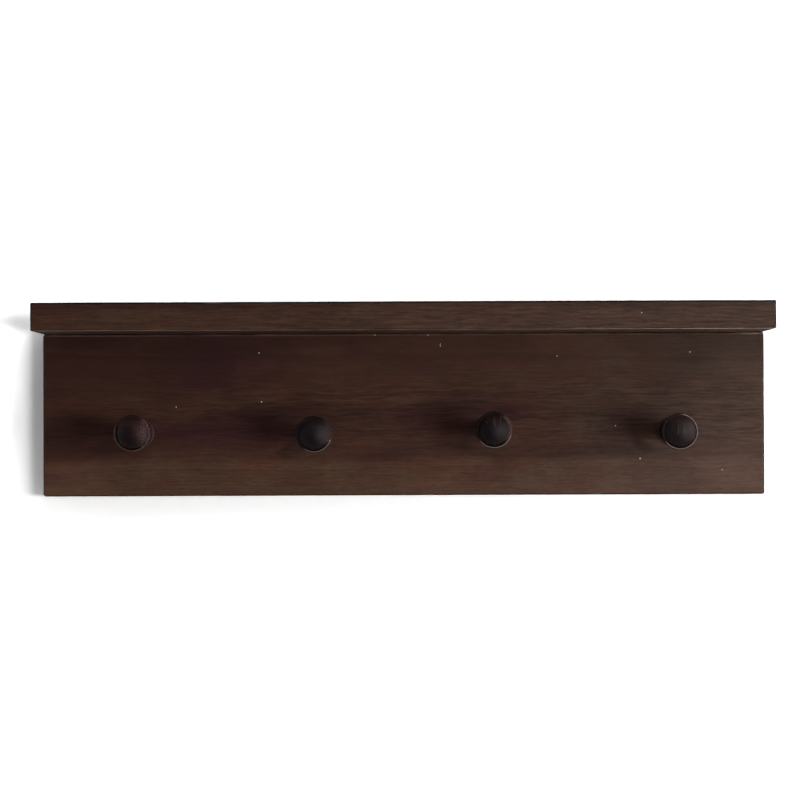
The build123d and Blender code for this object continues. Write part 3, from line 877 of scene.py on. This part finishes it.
def peg_profile(look, projection, seed):
    """A peg's outline along +Z from its tenon's end to its dome's top, as (radius, height) pairs.

    The stem and the cove behind the head are cubic curves, and the shoulder's rounding, the bead and the dome
    are arcs. From the shoulder's rounding on, the lathe has taken a small uneven amount off the radius.
    """
    tenon, shoulder, neck, rim = look.tenon / 2, look.shoulder / 2, look.neck / 2, look.rim / 2
    dome, rise = rim - RIM_STEP, look.dome
    dome_foot = projection - rise
    rim_height = dome_foot + RIM_GROOVE - RIM_BEAD
    neck_height = rim_height - NECK_TO_RIM
    dome_radius = (dome**2 + rise**2) / (2 * rise)
    dome_start = np.degrees(np.arctan2(dome_foot - projection + dome_radius, dome))
    bead = (rim - RIM_BEAD, rim_height)
    back = arc(bead, RIM_BEAD, -60, -60, 1)[0]
    stem = (shoulder - SHOULDER_ROUND - SHOULDER_STEP, SHOULDER_LAND)
    parts = [
        [(0, -TENON_LENGTH), (tenon - TENON_CHAMFER, -TENON_LENGTH), (tenon, TENON_CHAMFER - TENON_LENGTH), (tenon, 0)],
        [(shoulder - SHOULDER_CREASE, 0), (shoulder, SHOULDER_CREASE), (shoulder, 0.5 * MM)],
        arc((shoulder - SHOULDER_ROUND, SHOULDER_LAND - SHOULDER_ROUND), SHOULDER_ROUND, 0, 90, 8),
        [(shoulder - 1.3 * MM, SHOULDER_LAND)],
        bezier(stem, (-3.45 * MM, 12.33 * MM), (0, -8 * MM), (neck, neck_height), 40),
        bezier((neck, neck_height), (0, 6.05 * MM), (-4.17 * MM, -1.88 * MM), back, 22)[1:],
        arc(bead, RIM_BEAD, -60, 90, 16)[1:],
        np.linspace((rim - RIM_BEAD, rim_height + RIM_BEAD), (dome, dome_foot), 4)[1:-1],
        arc((0, projection - dome_radius), dome_radius, dome_start, 90, 30)[:-1],
        [(0, projection)],
    ]
    profile = np.concatenate([np.reshape(part, (-1, 2)) for part in parts])
    wave = uneven(np.stack([profile[:, 1], profile[:, 0], 0 * profile[:, 0]], axis=1), 0.0015, 0.02, seed)
    profile[FIRST_LATHE_MARK:-1, 0] -= LATHE_MARKS * np.clip(wave[FIRST_LATHE_MARK:-1], 0, 1)
    return profile


def plug_cuts():
    """The plug bores with their screw holes, in place. They pass through the shelf into the rail."""
    points, faces = turned(np.array(PLUG_BORE) * MM, HOLE_STEPS)
    feet = [(middle(node).x, middle(node).y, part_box(node)[0].z - PLUG_GAP * MM) for node in PLUGS]
    return [(points + foot, faces) for foot in feet]


def back_cuts():
    """The recess, pocket and screw holes behind each keyhole plate, in place."""
    shapes = []
    for length, width, depth in PLATE_RECESSES:
        shapes.append(stadium(length * MM, width * MM, 1 * MM, -depth * MM))
    pilot, faces = turned(np.array(PILOT_HOLE) * MM, PILOT_STEPS)
    for offset in (-PILOT_OFFSET, PILOT_OFFSET):
        shapes.append((lay(pilot, 1) + (0, 0, offset * MM), faces))
    return [(points + spot(node, 0), faces) for node in PLATES for points, faces in shapes]


def peg_cuts():
    """The blind bores of the pegs' tenons, in place."""
    points, faces = turned(np.array(PEG_BORE) * MM, BORE_STEPS)
    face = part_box("back_board")[0].y
    return [(lay(points, -1) + spot(node, face), faces) for node in PEGS]


# ---- operators


class PEGRAIL_OT_rail(Operator):
    """Make the rail board, with the pegs' bores and the recesses of its keyhole plates"""

    bl_idname = "pegrail.rail"
    bl_label = "Rail board"

    def execute(self, context):
        look = context.scene.peg_rail_boards
        low, high = corners("back_board")
        finish = board_finish("rail_stain", "back_board", look, RAIL_MARKS)
        points, faces = eased_board(low, high, look.rail_ease, (0.002, 0.004, 0.003), look.wear, 11)
        rail = mesh_object("rail_board", points, faces, finish)
        cut(rail, back_cuts() + peg_cuts() + plug_cuts(), BOARD_CREASE)
        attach(rail, "root")
        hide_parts("back_board")
        return {"FINISHED"}


class PEGRAIL_OT_shelf(Operator):
    """Make the shelf on top of the rail, with the bores of its plugs"""

    bl_idname = "pegrail.shelf"
    bl_label = "Shelf"

    def execute(self, context):
        look = context.scene.peg_rail_boards
        low, high = corners("shelf_board")
        finish = board_finish("shelf_stain", "shelf_board", look, SHELF_MARKS)
        points, faces = eased_board(low, high, look.shelf_ease, (0.002, 0.003, 0.003), look.wear, 23)
        shelf = mesh_object("shelf", points, faces, finish)
        cut(shelf, plug_cuts(), BOARD_CREASE)
        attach(shelf, "root")
        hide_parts("shelf_board")
        return {"FINISHED"}


class PEGRAIL_OT_pegs(Operator):
    """Turn the pegs and set each in its bore"""

    bl_idname = "pegrail.pegs"
    bl_label = "Pegs"

    def execute(self, context):
        look = context.scene.peg_rail_pegs
        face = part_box("back_board")[0].y
        for seed, node in enumerate(PEGS, 1):
            low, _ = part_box(node)
            points, faces = turned(peg_profile(look, face - low.y, seed), TURNED_STEPS)
            finish = peg_finish(f"peg_stain_{seed}", node, look, seed, PEG_MARKS[seed - 1])
            peg = mesh_object(f"turned_{node}", lay(points, -1) + spot(node, face), faces, finish, PEG_CREASE)
            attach(peg, "root")
            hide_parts(node)
        return {"FINISHED"}


class PEGRAIL_OT_plugs(Operator):
    """Stain the plugs over the shelf's screws"""

    bl_idname = "pegrail.plugs"
    bl_label = "Plugs"

    def execute(self, context):
        look = context.scene.peg_rail_boards
        for seed, node in enumerate(PLUGS):
            dress(node, plug_finish(f"plug_stain_{seed + 1}", node, look, seed))
        return {"FINISHED"}


class PEGRAIL_OT_steel(Operator):
    """Plate the keyhole hangers and all the screws with zinc"""

    bl_idname = "pegrail.steel"
    bl_label = "Hangers and screws"

    def execute(self, context):
        finish = steel_finish("zinc_plate", context.scene.peg_rail_stage)
        for node in PLATES + SCREWS:
            dress(node, finish)
        return {"FINISHED"}


class PEGRAIL_OT_stage(Operator):
    """Set up the wall, the floor, the lamps, the room's light and the camera"""

    bl_idname = "pegrail.stage"
    bl_label = "Stage"

    def execute(self, context):
        look = context.scene.peg_rail_stage
        set_backdrop(look)
        set_lamps(look)
        set_room(look)
        set_camera()
        return {"FINISHED"}


# ---- stage


def rectangle(left, foot, right, head):
    """The x and z of an upright rectangle's corners, counted round."""
    return np.array([(left, foot), (right, foot), (right, head), (left, head)])


def set_backdrop(look):
    """A wall just behind the part, open where the part's back covers it, that sweeps out into a floor.

    The wall is a ring of four quads round the opening. The sweep is a quarter circle and a flat, carried along X.
    """
    finish = backdrop_finish("plaster", look)
    low, high = CAD_BOX
    left, foot, right, _ = WALL
    opening = (low.x + WALL_INSET, low.z + WALL_INSET, high.x - WALL_INSET, high.z - WALL_INSET)
    ring = np.concatenate([rectangle(*opening), rectangle(*WALL)])
    points = np.stack([ring[:, 0], np.full(8, WALL_Y), ring[:, 1]], axis=1)
    here, there = np.arange(4), np.roll(np.arange(4), -1)
    wall = mesh_object("wall", points, np.stack([here, here + 4, there + 4, there], axis=1), finish)
    bend = np.radians(np.linspace(0, 90, 25))
    profile = np.stack([WALL_Y - SWEEP + SWEEP * np.cos(bend), foot - SWEEP * np.sin(bend)], axis=1)
    profile = np.concatenate([profile, [(FLOOR_FRONT, foot - SWEEP)]])
    count = len(profile)
    sides = np.repeat([left, right], count)[:, None]
    points = np.concatenate([sides, np.concatenate([profile, profile])], axis=1)
    floor = mesh_object("floor", points, quads(2, count)[:, ::-1], finish)


def set_lamps(look):
    """A soft key from the right, smaller lamps below it, at the left, above and at the side, and one behind.

    Each is a rectangle with a place, a width and a height in metres, and faces the origin.
    """
    lamps = (
        ("key", (0.87, -1.5, -0.13), 0.7, 0.34),
        ("low", (0.85, -0.85, -1.15), 0.5, 0.35),
        ("left", (-0.78, -0.24, 0.0), 0.2, 0.5),
        ("top", (0.2, -1.15, 1.3), 1.1, 0.8),
        ("side", (1.62, -0.34, -0.1), 0.5, 0.8),
        ("rear", (-0.8, 1.9, 0.7), 1.0, 1.0),
    )
    for (name, place, width, height), power in zip(lamps, look.power):
        lamp = bpy.data.lights.new(name, "AREA")
        lamp.shape, lamp.size, lamp.size_y, lamp.energy = "RECTANGLE", width, height, power
        thing = bpy.data.objects.new(name, lamp)
        thing.visible_camera = False
        thing.location = place
        thing.rotation_euler = (-Vector(place)).to_track_quat("-Z", "Y").to_euler()
        bpy.context.scene.collection.objects.link(thing)


def set_room(look):
    """Even light from all round, which the camera, gloss and glass see as white."""
    world = bpy.data.worlds.new("room")
    bpy.context.scene.world = world
    g = Graph(world)
    dim = g.node("ShaderNodeBackground", {"Color": ROOM, "Strength": look.room})
    white = g.node("ShaderNodeBackground", {"Color": WHITE, "Strength": 1.0})
    g.surface(g.node("ShaderNodeMixShader", {0: g.seen(), 1: dim, 2: white}))


def set_camera():
    """A long lens square to the rail, 2.05 m from the wall, a hair off level."""
    data = bpy.data.cameras.new("camera")
    data.lens, data.sensor_width = 129.76, 36
    camera = bpy.data.objects.new("camera", data)
    place, tilt, turn, roll = (0, -2.05, -0.0224), 90.544, 0.07, -0.22
    aim = Euler(np.radians((tilt, 0, turn))).to_matrix() @ Matrix.Rotation(np.radians(roll), 3, "Z")
    camera.matrix_world = Matrix.Translation(place) @ aim.to_4x4()
    bpy.context.scene.collection.objects.link(camera)
    bpy.context.scene.camera = camera
    bpy.context.scene.view_settings.view_transform = "Standard"


# ---- sidebar and running


class PEGRAIL_PT_panel(Panel):
    """Lists the peg rail's steps and settings"""

    bl_label = "Shaker Peg Rail"
    bl_space_type = "VIEW_3D"
    bl_region_type = "UI"
    bl_category = "Peg Rail"

    def draw(self, context):
        column = self.layout.column(align=True)
        for step in STEPS:
            column.operator(step.bl_idname)
        for group in LOOKS:
            box = self.layout.box()
            for key in LOOKS[group].__annotations__:
                box.prop(getattr(context.scene, group), key)


STEPS = (PEGRAIL_OT_rail, PEGRAIL_OT_shelf, PEGRAIL_OT_pegs, PEGRAIL_OT_plugs, PEGRAIL_OT_steel, PEGRAIL_OT_stage)
LOOKS = {"peg_rail_boards": BoardLook, "peg_rail_pegs": PegLook, "peg_rail_stage": StageLook}


def register():
    """Registers the settings, the operators and the panel."""
    for cls in (*LOOKS.values(), *STEPS, PEGRAIL_PT_panel):
        bpy.utils.register_class(cls)
    for group, cls in LOOKS.items():
        setattr(bpy.types.Scene, group, PointerProperty(type=cls))


def unregister():
    """Takes out what register put in."""
    for group in LOOKS:
        delattr(bpy.types.Scene, group)
    for cls in (PEGRAIL_PT_panel, *reversed(STEPS), *LOOKS.values()):
        bpy.utils.unregister_class(cls)


def main():
    """Makes every piece and the stage."""
    register()
    bpy.ops.pegrail.rail()
    bpy.ops.pegrail.shelf()
    bpy.ops.pegrail.pegs()
    bpy.ops.pegrail.plugs()
    bpy.ops.pegrail.steel()
    bpy.ops.pegrail.stage()


if __name__ == "__main__":
    main()
